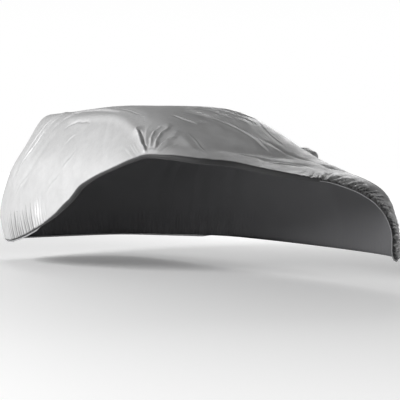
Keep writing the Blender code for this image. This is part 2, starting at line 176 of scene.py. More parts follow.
# fine folds: places along each, its crest height and half width, and the depth of the trough
# beside it, on the right of the way it runs, or on the left where it is negative
Fold = namedtuple("Fold", "name places height half_width trough")
FOLDS = [
    # the front slope
    Fold("long slope crest", [(17.8, 1.67), (7.3, 1.98), (-0.5, 2.11), (-6.5, 2.23),
                              (-10.2, 2.37), (-12.5, 2.49), (-13.0, 2.63), (-12.2, 2.84)],
         0.0085, 0.0085, 0.0060),
    Fold("short slope crest", [(31.0, 1.94), (25.8, 2.11), (18.5, 2.24)],
         0.0045, 0.0080, 0.0060),
    Fold("short upper crest", [(26.5, 1.70), (17.0, 1.92)], 0.0030, 0.0075, 0.0030),
    Fold("upper crest one", [(4.5, 1.22), (-9.5, 1.66), (-15.2, 1.99), (-19.0, 2.22)],
         0.0045, 0.0075, 0.0035),
    Fold("upper crest two", [(-6.5, 1.10), (-15.5, 1.62), (-22.0, 1.95), (-25.0, 2.15)],
         0.0040, 0.0070, 0.0035),
    Fold("upper crest three", [(-17.0, 1.05), (-23.5, 1.76), (-29.8, 2.05), (-31.5, 2.24)],
         0.0050, 0.0080, 0.0050),
    Fold("upper crest four", [(-26.0, 1.05), (-30.0, 1.66), (-36.5, 2.00)],
         0.0040, 0.0070, 0.0040),
    Fold("upper crest five", [(-33.0, 1.05), (-36.5, 1.71), (-45.5, 2.10)],
         0.0050, 0.0080, 0.0050),
    Fold("slope edge crest", [(-42.0, 2.08), (-33.0, 2.30), (-29.2, 2.48), (-27.4, 2.70)],
         0.0026, 0.0100, 0.0026),
    Fold("low slope crest", [(29.2, 2.47), (27.8, 2.64), (27.2, 2.86)],
         0.0032, 0.0065, -0.0020),
    # the pinch above the hem's highest place, and the fan that runs from it
    Fold("pinch crest", [(52.9, 2.36), (52.2, 2.46), (51.6, 2.60), (50.8, 2.86)],
         0.0120, 0.0110, 0.0),
    Fold("pinch valley", [(51.0, 2.41), (50.8, 2.49), (50.5, 2.62), (50.1, 2.82)],
         -0.0150, 0.0090, 0.0),
    Fold("fan crest nought", [(49.9, 2.70), (48.9, 2.52), (48.0, 2.40), (46.4, 2.30)],
         0.0030, 0.0105, -0.0020),
    Fold("fan crest one", [(48.3, 2.76), (46.9, 2.56), (44.5, 2.43), (40.5, 2.32)],
         0.0095, 0.0115, -0.0090),
    Fold("fan crest two", [(47.0, 2.79), (44.6, 2.59), (41.8, 2.47), (36.8, 2.35)],
         0.0095, 0.0115, -0.0095),
    Fold("fan crest three", [(46.2, 2.80), (42.8, 2.66), (40.0, 2.59), (36.0, 2.55)],
         0.0060, 0.0090, -0.0070),
    Fold("fan crest four", [(45.2, 2.85), (41.5, 2.75), (37.2, 2.67)],
         0.0040, 0.0090, -0.0040),
    Fold("pinch pleat one", [(56.6, 2.68), (55.0, 2.82), (54.0, 2.94)],
         0.0012, 0.0075, 0.0015),
    Fold("pinch pleat two", [(55.2, 2.66), (54.0, 2.81), (53.2, 2.93)],
         0.0014, 0.0075, 0.0016),
    Fold("pinch pleat three", [(59.5, 2.72), (57.4, 2.86), (56.0, 2.99)],
         0.0007, 0.0080, 0.0008),
    # the deck
    Fold("valley", [(-19.0, 2.60), (-21.0, 2.77), (-21.8, 2.87), (-24.5, 2.96),
                    (-30.0, 3.09)], -0.0090, 0.0250, 0.0),
    Fold("bump crease", [(-40.5, 2.74), (-43.5, 2.86), (-46.0, 2.97), (-46.5, 3.06)],
         -0.0100, 0.0120, 0.0),
    Fold("deck crest one", [(-1.8, 3.06), (-12.2, 3.12), (-20.0, 3.21)],
         0.0045, 0.0100, 0.0055),
    Fold("deck crest two", [(-30.8, 3.20), (-35.0, 3.29), (-39.5, 3.39)],
         0.0050, 0.0100, 0.0070),
    Fold("deck crest three", [(10.0, 2.85), (1.8, 2.93), (-6.0, 3.01)],
         0.0030, 0.0110, 0.0030),
    # the top and its rear corner
    Fold("rail groove", [(106.5, 2.40), (104.6, 2.28), (101.5, 2.21), (98.0, 2.19),
                         (94.7, 2.19), (91.5, 2.22)], -0.0065, 0.0130, 0.0),
    Fold("roof line", [(113.5, 2.19), (111.3, 1.92), (111.0, 1.48), (106.0, 1.24),
                       (97.0, 1.22), (86.0, 1.32), (75.0, 1.48), (66.0, 1.68)],
         0.0070, 0.0130, 0.0060),
    Fold("roof front crease", [(71.0, 1.28), (57.5, 1.63), (50.0, 1.97)],
         -0.0050, 0.0110, -0.0030),
    Fold("tail crest one", [(116.6, 1.92), (117.6, 2.19), (118.3, 2.36), (119.1, 2.60),
                            (120.1, 2.87), (121.0, 3.23), (121.8, 3.80), (123.2, 4.25)],
         0.0090, 0.0085, 0.0110),
    Fold("tail crest two", [(120.2, 1.96), (121.5, 2.19), (122.6, 2.50), (123.8, 2.80),
                            (124.2, 3.12), (123.2, 3.45)], 0.0090, 0.0085, 0.0110),
    Fold("tail crest three", [(112.6, 2.14), (114.4, 2.36), (115.4, 2.70)],
         0.0050, 0.0075, 0.0060),
    Fold("tail crest four", [(123.8, 2.02), (125.4, 2.34), (127.0, 2.70)],
         0.0050, 0.0085, 0.0060),
    Fold("tail crest five", [(118.4, 1.96), (119.6, 2.22), (120.6, 2.52), (121.6, 2.84)],
         0.0050, 0.0070, 0.0070),
    Fold("tail crest six", [(124.6, 3.30), (125.4, 3.75), (125.8, 4.30)],
         0.0045, 0.0100, 0.0050),
    # the near side
    Fold("side crest one", [(90.8, 2.80), (93.2, 3.11), (94.6, 3.48)],
         0.0022, 0.0120, 0.0022),
    Fold("side crest two", [(95.0, 3.70), (99.2, 4.10), (102.0, 4.52)],
         0.0022, 0.0140, 0.0022),
    Fold("side crest three", [(114.0, 3.80), (117.8, 4.22), (120.2, 4.60)],
         0.0026, 0.0140, 0.0026),
    Fold("side crest four", [(101.0, 2.68), (99.5, 2.56), (97.2, 2.46)],
         0.0022, 0.0110, 0.0022),
    Fold("side crest five", [(95.0, 4.28), (90.5, 4.45), (87.2, 4.53)],
         0.0022, 0.0140, 0.0022),
]

# a panel's first and last column, the length and width of the rectangle it is cut from, and
# its own flat area
Panel = namedtuple("Panel", "name first last flat area")
PANELS = [
    Panel("centre_panel", -TAIL_SEAM, ALL_COLUMNS - TAIL_SEAM, (1.66, 3.92), 4.05),
    Panel("right_side_panel", FRONT_SEAM, TAIL_SEAM, (1.42, 2.36), 1.78),
    Panel("left_side_panel", -TAIL_SEAM, -FRONT_SEAM, (1.42, 3.56), 3.46),
    Panel("tail_panel", TAIL_SEAM, ALL_COLUMNS - TAIL_SEAM, (1.40, 2.82), 3.44),
]

# an elastic casing's first and last column, and the panel that it is sewn to
Casing = namedtuple("Casing", "name first last panel")
CASINGS = [
    Casing("rear_elastic", REAR_GATHER, ALL_COLUMNS - REAR_GATHER, "tail_panel"),
    Casing("front_elastic", -NOSE_GATHER[1], -NOSE_GATHER[0], "centre_panel"),
]

# how far out a broad fold is worked out, in its own half widths
SWELL_REACH = 3.0

# the shape of a fine fold, in its own half widths
FOLD_REACH = 7.0         # how far out it is worked out
FOLD_WANDER = 0.25       # how far its line wanders to either side
CREST_FIRMNESS = 1.6     # how steep its crest's sides are
TROUGH_PLACE = 2.0       # from the crest to the trough
TROUGH_NEAR = 0.9        # width of the trough's side towards the crest
TROUGH_FAR = 1.9         # and of its other side

# irregular waves: the size of one, and the seed of their random draws
Ripple = namedtuple("Ripple", "size seed")
WANDERING = Ripple(0.11, 5)          # of the fine folds' lines
HANGING = Ripple(0.17, 11)           # down the flanks
DRAWN = Ripple(0.085, 12)            # drawn across the front slope
BROAD = Ripple(0.30, 13)             # all over
SMALL = Ripple(0.07, 14)             # all over
SHIFTING = Ripple(0.16, 25)          # of the ruffles along the hem
CRUSHED = Ripple(0.030, 26)          # among the ruffles
PUCKERED = Ripple(0.045, 31)         # beside the sewn seams

# gathers along the hem: the half width of the grooves between them, how far up the cloth the
# shortest one runs as a share of their reach, how much further the tallest one runs, and the
# seed of their random draws
Gather = namedtuple("Gather", "groove shortest further seed")
PLEATS = Gather(0.0105, 0.45, 0.75, 22)
RUFFLES = Gather(0.0060, 0.35, 0.75, 23)
PUFFS = Gather(0.0090, 1.50, 0.00, 24)       # broad ones under the ruffles
PUCKERS = Gather(0.0040, 1.00, 0.00, 41)     # of the elastic
GATHERS = 997            # how many are drawn, more than any hem has
NOSE_NUMBER = 300        # number of the gather at the nose
PUFF_PITCH = 2.6         # in pitches of the ruffles
PUFF_HEIGHT = 1.2        # in heights of the ruffles
CRUSH_HEIGHT = 0.35      # of the small waves among the ruffles, in heights of the ruffles
RUFFLE_SLANT = 0.15      # how far the ruffles lean along the hem, for each metre above it
RUFFLE_SHIFT = 0.006     # how far they wander along it

# heights at which a trough, a pleat and a ruffle get their full painted shade, and how much
# painted shade a trough and a ruffle then have against a pleat
FULL_TROUGH, FULL_PLEAT, FULL_RUFFLE = 0.012, 0.013, 0.014
TROUGH_SHADE, RUFFLE_SHADE = 0.26, 0.75

# a sewn seam: the half width of its dip, how far beside it the cloth rises again and by what
# share of the dip, and the height and reach of its puckers
STITCH_WIDTH, STITCH_RISE, RISE_SHARE = 0.005, 0.011, 0.6
PUCKER_HEIGHT, PUCKER_REACH = 0.0005, 0.035
FLAT_SEAMS = (16, 26)    # columns over which the flat front seams turn into sewn ones
FLAT_GAP = 0.03          # what a flat seam adds to the distance, so that it shows less

# the flat grids: distances of the stops beside a seam, and the room that they need
SEAM_STOPS = (0.004, 0.010)
SEAM_ROOM = 0.013
ROLL_STEPS = 7           # in the rolled edge
SKIRT_ROWS = (SEAM_ROW, 10, HEM_ROW)      # where a column of the skirt is measured
SKIRT_COLUMNS = (-30, -8, 14, 30, 46)    # where a row of the skirt is
TOP_COLUMNS = (0, 8, -8)                 # where a row of the top is
# splits near the fine folds: the longest edge that is left, and the reach in half widths
FOLD_SPLITS = [(0.0110, 3.8), (0.0074, 2.1)]
# splits above the hem: what is gathered there, the longest edge that is left, the reach as a
# share of the gathers' own one, and whether only edges along the hem are split
Split = namedtuple("Split", "gather longest reach across")
GATHER_SPLITS = [
    Split("pleat", 0.0120, 0.9, True),
    Split("pleat", 0.0060, 0.8, True),
    Split("ruffle", 0.0104, 1.0, False),
    Split("ruffle", 0.0070, 0.4, False),
]
LEAST_GATHER = 0.0015    # the height from which gathers need a finer grid
TALL_SWELL = 0.05        # the height from which a broad fold does
TALL_BOX, TALL_REACH = 1.8, 0.17         # its box in half widths, and the distance from its line
MERGE = 2e-5             # places closer than this become one

# the elastic casings' tape
TAPE_STEP = 0.006        # distance between the stops along it
TAPE_ROWS = 4
TAPE_GAP = 0.0006        # between it and the rolled edge
TAPE_ENDS = 3.0          # columns over which it narrows at its ends
TAPE_PITCH = 0.016       # of its puckers
TAPE_PUCKER = 0.0011     # how high they stand
TAPE_WAVE = 0.002        # how far they move its free edge

# the stage: lights, and the camera with its focal length in widths of the picture
Light = namedtuple("Light", "name place target size power")
LIGHTS = [
    Light("side light", (-8.8, 0.4, 2.9), (0.0, 0.2, -0.5), 3.0, 740),
    Light("back light", (5.0, 3.7, 2.0), (0.5, -1.8, -0.5), 2.5, 130),
]
FLOOR_REACH = 60.0
CAMERA_PLACE = (-5.276, -8.663, -0.434)
CAMERA_TURN = (pi / 2 - 0.0361, 0.0, -0.5799)
FOCAL_LENGTH = 1170.6 / 400
SENSOR_WIDTH = 36.0


class CoverSizes(bpy.types.PropertyGroup):
    """Sizes of the cover"""
    cloth: FloatProperty(
        name="Cloth", description="Thickness of the coated cloth", default=0.002,
        unit="LENGTH")
    mesh: FloatProperty(
        name="Mesh", description="Distance between neighbouring places of the cloth's mesh",
        default=0.0210, unit="LENGTH")
    folds: FloatProperty(
        name="Folds", description="Height of all folds against the table", default=1.0,
        subtype="FACTOR")
    wrinkles: FloatProperty(
        name="Wrinkles", description="Height of the soft wrinkles between the folds",
        default=0.0022, unit="LENGTH")
    pleat_pitch: FloatProperty(
        name="Pleat pitch", description="Distance between the pleats of the rear hem",
        default=0.050, unit="LENGTH")
    pleat_reach: FloatProperty(
        name="Pleat reach", description="How far the pleats run up the cloth", default=0.26,
        unit="LENGTH")
    ruffle_pitch: FloatProperty(
        name="Ruffle pitch", description="Distance between the ruffles of the front corner",
        default=0.029, unit="LENGTH")
    ruffle_reach: FloatProperty(
        name="Ruffle reach", description="How far the ruffles run up the cloth", default=0.200,
        unit="LENGTH")
    seam_depth: FloatProperty(
        name="Seam depth", description="How far the cloth dips at a sewn seam", default=0.0006,
        unit="LENGTH")
    elastic_height: FloatProperty(
        name="Elastic height", description="Height of the elastic casing", default=0.012,
        unit="LENGTH")
    elastic_thickness: FloatProperty(
        name="Elastic thickness", description="Thickness of the elastic casing", default=0.003,
        unit="LENGTH")


class CoverColours(bpy.types.PropertyGroup):
    """Colours of the cover and of the floor"""
    cloth: FloatVectorProperty(
        name="Cloth", description="Coated outer face", size=4, subtype="COLOR",
        default=(0.63, 0.63, 0.632, 1.0))
    backing: FloatVectorProperty(
        name="Backing", description="Inner face of the cloth", size=4, subtype="COLOR",
        default=(0.12, 0.12, 0.125, 1.0))
    # painted shade: this dark grey stands for the shade under the rolled edge and in the fold
    # troughs and gather grooves; it also gives the stitched seams their dark line
    hem: FloatVectorProperty(
        name="Hem", description="Rolled edge", size=4, subtype="COLOR",
        default=(0.055, 0.055, 0.056, 1.0))
    elastic: FloatVectorProperty(
        name="Elastic", description="Elastic casing", size=4, subtype="COLOR",
        default=(0.42, 0.42, 0.43, 1.0))
    floor: FloatVectorProperty(
        name="Floor", description="Studio floor", size=4, subtype="COLOR",
        default=(0.90, 0.90, 0.90, 1.0))


# ---------------------------------------------------------------------------- key lines

def curve(u, first, first_slope, second, second_slope):
    """Smooth curve between two values with their slopes, at a share u of the way."""
    return ((2 * u**3 - 3 * u**2 + 1) * first + (u**3 - 2 * u**2 + u) * first_slope
            + (3 * u**2 - 2 * u**3) * second + (u**3 - u**2) * second_slope)


def reading(table, field, column):
    """Smooth reading of one table field at columns, through every row and never past it."""
    columns = np.array([row.column for row in table], float)
    values = np.array([getattr(row, field) for row in table], float)
    step = np.diff(columns)
    rates = np.diff(values) / step
    before, after = rates[:-1], rates[1:]
    same_way = before * after > 0
    inner = np.where(same_way, 2 * before * after / np.where(same_way, before + after, 1), 0)
    slopes = np.concatenate([rates[:1], inner, rates[-1:]])
    i = np.clip(np.searchsorted(columns, column, side="right") - 1, 0, len(step) - 1)
    u = (column - columns[i]) / step[i]
    return curve(u, values[i], step[i] * slopes[i], values[i + 1], step[i] * slopes[i + 1])


def hem_reading(field, column):
    """Hem table field at signed columns, positive on the right side."""
    return np.where(column >= 0, reading(RIGHT_HEM, field, abs(column)),
                    reading(LEFT_HEM, field, abs(column)))


def unit(vectors):
    """Each vector at length 1."""
    return vectors / np.linalg.norm(vectors, axis=-1, keepdims=True)


def dot(a, b):
    """Dot product of each pair of vectors."""
    return np.sum(a * b, axis=-1)


def run_along(line):
    """Distance of each place of a line from its first one, along the line."""
    return np.concatenate([[0], np.cumsum(np.linalg.norm(np.diff(line, axis=0), axis=1))])


def smooth(low, high, value):
    """0 below low, 1 above high and an even curve between them."""
    share = np.clip((value - low) / (high - low), 0, 1)
    return share**2 * (3 - 2 * share)


def ring_point(ring, bearing):
    """Places on one key line at bearings in degrees."""
    across, along = np.sin(np.radians(bearing)), np.cos(np.radians(bearing))
    front = along > 0
    square = np.where(front, ring.front_square, ring.tail_square)
    reach = np.where(front, ring.front_reach, ring.tail_reach)
    end_height = np.where(front, ring.front_height, ring.tail_height)
    size = (abs(across)**square + abs(along)**square) ** (1 / square)
    share = abs(along) / size
    height = ring.side_height + (end_height - ring.side_height) * smooth(0, 1, share)
    return np.stack([-ring.half_width * across / size, -reach * along / size,
                     height - TOP_HEIGHT + CAD_CLOTH], axis=-1)


def cover_point(bearing, drop):
    """Places on the smooth outer face: curves down through the key lines."""
    line = [ring_point(ring, bearing) for ring in RINGS]
    over_spine = line[1] * (-1, 1, 1) + 2 * (line[0] - line[1]) * (0, 1, 0)
    line = np.stack([over_spine] + line + [2 * line[-1] - line[-2]])
    i = np.minimum(drop.astype(int), len(RINGS) - 2)
    u = (drop - i)[:, None]
    here = np.arange(len(drop))
    p0, p1, p2, p3 = (line[i + step, here] for step in range(4))
    d01, d12, d23 = (np.maximum(np.linalg.norm(b - a, axis=1), 1e-6)[:, None] ** 0.5
                     for a, b in ((p0, p1), (p1, p2), (p2, p3)))
    m1 = d12 * ((p1 - p0) / d01 - (p2 - p0) / (d01 + d12) + (p2 - p1) / d12)
    m2 = d12 * ((p2 - p1) / d12 - (p3 - p1) / (d12 + d23) + (p3 - p2) / d23)
    return curve(u, p1, m1, p2, m2)


def signed(column):
    """Column numbers counted past the tail, brought back to the left side's negative ones."""
    return np.where(column > COLUMNS, column - ALL_COLUMNS, column)


def lay_out(column, row):
    """Bearing, drop, girth and distance above the hem at signed columns and rows."""
    top = reading(TOPS, "bearing", abs(column))
    end = hem_reading("bearing", column)
    seam = np.interp(reading(SEAMS, "drop", abs(column)), DROPS, GIRTHS)
    hem = np.interp(np.minimum(hem_reading("drop", column), len(RINGS) - 1), DROPS, GIRTHS)
    girth = np.where(row <= SEAM_ROW, seam * row / SEAM_ROW,
                     seam + (hem - seam) * (row - SEAM_ROW) / (HEM_ROW - SEAM_ROW))
    bearing = np.where(column < 0, -1, 1) * (top + (end - top) * (row / HEM_ROW) ** 2)
    return bearing, np.interp(girth, GIRTHS, DROPS), girth, hem - girth


def smooth_place(column, row):
    """Places of the smooth outer face at columns and rows."""
    bearing, drop, _, _ = lay_out(signed(column), row)
    return cover_point(bearing, drop)


def smooth_steps(column, row):
    """How the smooth face runs on by one column and by one row, and its outward normal."""
    step = 0.04
    inner = np.maximum(row, 4 * step)
    along = (smooth_place(column + step, inner) - smooth_place(column - step, inner)) / step / 2
    down = (smooth_place(column, inner + step) - smooth_place(column, inner - step)) / step / 2
    return along, down, unit(np.cross(along, down))


def smooth_normal(column, row):
    """Outward normal of the smooth face, the same from both sides of the spine."""
    normal = smooth_steps(column, row)[2]
    on_spine = row < 1e-6
    other = smooth_steps(-column[on_spine], row[on_spine])[2]
    normal[on_spine] = unit(normal[on_spine] + other)
    return normal


# --------------------------------------------------------------------------------- folds

def ripples(place, ripple):
    """Irregular smooth waves of about one size over places, mostly from -1 to 1."""
    number = 7
    draw = np.random.default_rng(ripple.seed)
    ways = unit(draw.normal(size=(number, place.shape[-1])))
    lengths = ripple.size * draw.uniform(0.7, 1.5, number)
    starts = draw.uniform(0, 2 * pi, number)
    waves = np.sin(place @ (2 * pi * ways / lengths[:, None]).T + starts)
    return waves.sum(axis=-1) / number**0.5 / 1.2


def fold_line(places):
    """A fold's line on the smooth face, in short straight steps."""
    bearing, drop = np.array(places, float).T
    corners = np.arange(len(places))
    fine = np.linspace(0, corners[-1], 8 * corners[-1] + 1)
    return cover_point(np.interp(fine, corners, bearing), np.interp(fine, corners, drop))


def beside_line(line, place, normal):
    """Distance of places to the right of a line, and their share of the way along it."""
    lengths = np.linalg.norm(np.diff(line, axis=0), axis=1)
    starts = np.concatenate([[0], np.cumsum(lengths)])
    nearest = np.full(len(place), np.inf)
    right, share = np.zeros(len(place)), np.zeros(len(place))
    for start, end, length, run in zip(line, line[1:], lengths, starts):
        way = (end - start) / length
        part = np.clip((place - start) @ way, 0, length)
        off = place - start - part[:, None] * way
        distance = np.linalg.norm(off, axis=1)
        closer = distance < nearest
        nearest = np.where(closer, distance, nearest)
        turned = np.where(dot(off, np.cross(way, normal)) < 0, -distance, distance)
        right = np.where(closer, turned, right)
        share = np.where(closer, (run + part) / starts[-1], share)
    return right, share


def near_line(line, place, reach):
    """Which places lie in the box round a line, grown by a reach."""
    low, high = line.min(axis=0) - reach, line.max(axis=0) + reach
    return np.flatnonzero(np.all((place > low) & (place < high), axis=1))


def swell_lift(place, normal):
    """Lift of the broad folds."""
    lift = np.zeros(len(place))
    for swell in SWELLS:
        line = fold_line(swell.places)
        here = near_line(line, place, SWELL_REACH * swell.half_width)
        right, _ = beside_line(line, place[here], normal[here])
        lift[here] += swell.height * np.exp(-abs(right / swell.half_width) ** swell.firmness)
    return lift


def fold_lift(place, normal):
    """Lift of the fine folds: a crest with a trough beside it, dying out at both ends."""
    lift = np.zeros(len(place))
    wander = ripples(place, WANDERING)
    for fold in FOLDS:
        line = fold_line(fold.places)
        here = near_line(line, place, FOLD_REACH * fold.half_width)
        right, share = beside_line(line, place[here], normal[here])
        off = right / fold.half_width + FOLD_WANDER * wander[here]
        ends = np.clip(4 * share * (1 - share), 0, 1) ** 0.6
        crest = fold.height * np.exp(-abs(off) ** CREST_FIRMNESS)
        beside = off * np.sign(fold.trough) - TROUGH_PLACE
        width = np.where(beside < 0, TROUGH_NEAR, TROUGH_FAR)
        trough = abs(fold.trough) * np.exp(-(beside / width) ** 2)
        lift[here] += ends * (crest - trough)
    return lift


def gather_wave(run, pitch, gather):
    """Uneven round gathers with deeper, narrow grooves between them, how tall each one is,
    and where the grooves are, as a mask for their painted shade."""
    draw = np.random.default_rng(gather.seed)
    shift, tall = draw.uniform(-0.3, 0.3, GATHERS), draw.uniform(0.35, 1.0, GATHERS)
    number = run / pitch + NOSE_NUMBER
    number = number + np.interp(number, range(GATHERS), shift)
    beside = (number - np.round(number)) * pitch / gather.groove
    crest = abs(np.sin(pi * number)) ** 0.8
    tall = np.interp(number, range(GATHERS), tall)
    wave = (0.8 * crest - 1.2 * np.exp(-beside**2)) * tall
    return wave, tall, tall * np.exp(-(beside / 1.5) ** 2)


def gather_fade(above, reach, gather, tall=0.0):
    """Share of a gather that is left at a distance above the hem."""
    return np.clip(1 - above / reach / (gather.shortest + gather.further * tall), 0, 1)


# ------------------------------------------------------------------------------- draping

def hem_runs():
    """Columns round the cover and how far along the hem each one lies from the nose."""
    column = np.linspace(-COLUMNS, COLUMNS, 40 * COLUMNS + 1)
    hem = smooth_place(column, np.full(len(column), float(HEM_ROW)))
    run = run_along(hem)
    return column, run - np.interp(0, column, run)


def hem_tree():
    """The hem as places a few millimetres apart, in a tree that finds the nearest one."""
    column = np.interp(np.arange(HEM_RUNS[1][0], HEM_RUNS[1][-1], 0.004),
                       HEM_RUNS[1], HEM_RUNS[0])
    place = smooth_place(column, np.full(len(column), float(HEM_ROW)))
    tree = KDTree(len(place))
    for i, spot in enumerate(place):
        tree.insert(spot, i)
    tree.balance()
    return tree, column, place, unit(np.gradient(place, axis=0))


def beside_hem(place):
    """The hem's column and run at its place nearest to each place, and the distance."""
    tree, columns, spots, ways = HEM_TREE
    found = [tree.find(spot)[1:] for spot in place]
    nearest = np.array([i for i, _ in found], int)
    along = dot(place - spots[nearest], ways[nearest])
    run = np.interp(columns[nearest], *HEM_RUNS) + along
    return np.interp(run, HEM_RUNS[1], HEM_RUNS[0]), run, np.array([far for _, far in found])


def belt_runs():
    """Bearings round the cover and how far along the belt each one lies from the nose."""
    bearing = np.linspace(-180, 180, 1441)
    run = run_along(ring_point(BELT, bearing))
    return bearing, run - np.interp(0, bearing, run)


def spine_runs():
    """Places from tail to nose along the middle, and the length of cloth up to each."""
    drop = np.linspace(0, len(RINGS) - 1.001, 400)
    front = cover_point(np.zeros(400), drop)
    tail = cover_point(np.full(400, 180.0), drop)
    line = np.concatenate([tail[::-1], front])
    return -line[:, 1], run_along(line)


HEM_RUNS, BELT_RUNS = hem_runs(), belt_runs()
HEM_TREE = hem_tree()


def seam_gap(column, row, along, down):
    """Distance from places to the nearest sewn seam, and more at the flat front seams."""
    column_step, row_step = (np.linalg.norm(step, axis=1) for step in (along, down))
    past_front = abs(signed(column)) - FRONT_SEAM
    gap = np.hypot(abs(row - SEAM_ROW) * row_step,
                   np.clip(-past_front, 0, None) * column_step)
    below = np.clip(SEAM_ROW - row, 0, None) * row_step
    for seam in (FRONT_SEAM, TAIL_SEAM):
        beside = abs(abs(signed(column)) - seam) * column_step
        gap = np.minimum(gap, np.hypot(beside, below))
    return gap + FLAT_GAP * (1 - smooth(*FLAT_SEAMS, abs(signed(column))))


def wrinkle_lift(place, bearing, drop, girth, sizes):
    """Lift of the soft wrinkles between the folds: long waves that hang down the flanks and
    end before the tail's middle, short ones down the front slope, and slight ones all over."""
    flank = smooth(1.9, 2.6, drop) * smooth(60, 85, abs(bearing))
    flank *= 1 - smooth(160, 178, abs(bearing))
    belt_run = np.interp(bearing, *BELT_RUNS)
    hung = np.stack([belt_run + 0.25 * girth, 0.28 * girth], axis=1)
    slope = smooth(1.0, 1.6, drop) * (1 - smooth(35, 60, abs(bearing)))
    drawn = np.stack([place[:, 0] * 0.7 - place[:, 1] * 0.35, place[:, 0] * 0.1], axis=1)
    return sizes.wrinkles * (1.5 * flank * ripples(hung, HANGING)
                             + 0.5 * slope * ripples(drawn, DRAWN)
                             + 0.6 * ripples(place, BROAD) + 0.2 * ripples(place, SMALL))


def gather_lift(place, sizes):
    """Lift of the pleats and ruffles above the hem, and the painted shade of each place in a
    groove.
    """
    hem_column, run, above = beside_hem(place)
    pleat, ruffle = (hem_reading(name, hem_column) for name in ("pleat", "ruffle"))
    wave, tall, groove = gather_wave(run, sizes.pleat_pitch, PLEATS)
    fade = np.sin(0.5 * pi * gather_fade(above, sizes.pleat_reach, PLEATS, tall))
    lift = pleat * fade * wave
    # painted shade in the pleats' grooves
    painted_shade = np.clip(pleat / FULL_PLEAT, 0, 1) ** 2 * fade * groove

    run = run + RUFFLE_SHIFT * ripples(place, SHIFTING) + RUFFLE_SLANT * above
    wave, tall, groove = gather_wave(run, sizes.ruffle_pitch, RUFFLES)
    fade = np.sin(0.5 * pi * gather_fade(above, sizes.ruffle_reach, RUFFLES, tall))
    lift += ruffle * fade * wave
    painted_shade = np.maximum(painted_shade, RUFFLE_SHADE * np.clip(ruffle / FULL_RUFFLE, 0, 1) * fade * groove)

    wave, _, _ = gather_wave(run, PUFF_PITCH * sizes.ruffle_pitch, PUFFS)
    fade = gather_fade(above, sizes.ruffle_reach, PUFFS)
    lift += PUFF_HEIGHT * ruffle * fade**0.7 * wave
    return lift + CRUSH_HEIGHT * ruffle * fade * ripples(place, CRUSHED), painted_shade


def seam_lift(place, gap, sizes):
    """Lift beside the sewn seams: a dip with a rise beside it, and small puckers."""
    rise = np.exp(-((gap - STITCH_RISE) / STITCH_WIDTH) ** 2)
    dip = np.exp(-(gap / STITCH_WIDTH) ** 2) - RISE_SHARE * rise
    pucker = PUCKER_HEIGHT * ripples(place, PUCKERED) * np.exp(-(gap / PUCKER_REACH) ** 2)
    return pucker - sizes.seam_depth * dip


def cloth_lift(column, row, place, normal, gap, sizes):
    """Lift of the cloth along its normal at columns and rows down to the hem, and the painted
    shade of each place in a fold's trough or a gather's groove."""
    bearing, drop, girth, _ = lay_out(signed(column), row)
    folds = sizes.folds * fold_lift(place, normal)
    gathers, grooves = gather_lift(place, sizes)
    lift = swell_lift(place, normal) + folds + wrinkle_lift(place, bearing, drop, girth, sizes)
    # painted shade in the fold troughs, kept with the painted shade of the gathers' grooves
    troughs = TROUGH_SHADE * np.clip(-folds / FULL_TROUGH, 0, 1)
    return lift + gathers + seam_lift(place, gap, sizes), np.maximum(troughs, grooves)


def drape(column, row, sizes):
    """Places of the cloth, its distance above the hem and to a seam, and the painted shade in
    its troughs and grooves.
    """
    flat_row = np.minimum(row, HEM_ROW)
    place = smooth_place(column, flat_row)
    along, down, _ = smooth_steps(column, flat_row)
    normal = smooth_normal(column, flat_row)
    gap = seam_gap(column, flat_row, along, down)
    lift, painted_shade = cloth_lift(column, flat_row, place, normal, gap, sizes)
    above = lay_out(signed(column), flat_row)[3]
    folded = place + lift[:, None] * normal

    rolled = row > HEM_ROW
    onward = hem_onward(column[rolled])
    turn = np.radians(ROLL_TURN) * (row[rolled] - HEM_ROW)
    radius = hem_reading("roll", signed(column[rolled]))
    out, back = radius * np.sin(turn), radius * (1 - np.cos(turn))
    rise = lift[rolled] * np.clip(1 - 2 * turn / pi, 0, 1)
    folded[rolled] = (place[rolled] + out[:, None] * onward
                      + (rise - back)[:, None] * normal[rolled])
    above[rolled] = -radius * turn
    return folded, above, gap, painted_shade


def hem_onward(column):
    """Direction in which the smooth cloth would run on past the hem at columns."""
    row = np.full(len(column), float(HEM_ROW))
    along, down, normal = smooth_steps(column, row)
    onward = unit(np.cross(along, normal))
    return onward * np.sign(dot(onward, down))[:, None]


def cloth_map(name, column, row, place):
    """Places on the cloth's own flat pattern, in metres, for the weave."""
    if name == "centre_panel":
        return np.stack([place[:, 0], np.interp(-place[:, 1], *spine_runs())], axis=1)
    bearing, _, girth, _ = lay_out(signed(column), np.minimum(row, HEM_ROW))
    run = np.interp(bearing, *BELT_RUNS)
    if name == "tail_panel":
        run = np.where(run < 0, run + 2 * BELT_RUNS[1][-1], run)
    return np.stack([run, girth], axis=1)


# ----------------------------------------------------------------------------- flat grids

def column_stops(first, last, rows, spacing, seams):
    """Columns of a grid so that places lie about one spacing apart, closer at its seams, and
    the same on both sides of the middle."""
    stops = [float(first)]
    rows = np.array(rows, float)
    for k in range(first, last):
        width = 0
        for near, far in ((k, k + 1), (-k, -k - 1)):
            ends = [smooth_place(np.full(len(rows), float(c)), rows) for c in (near, far)]
            width = max(width, np.linalg.norm(ends[1] - ends[0], axis=1).max())
        number = max(1, round(width / spacing))
        inner = k + np.arange(1, number + 1) / number
        for near, far, way in ((k, k + 1, 1), (k + 1, k, -1)):
            if near in seams:
                beside = near + way * np.array(SEAM_STOPS) / width
                inner = inner[abs(inner - near) * width > SEAM_ROOM]
                inner = np.concatenate([inner, beside, [float(k + 1)]])
        stops += sorted(set(np.round(inner, 6)))
    return stops


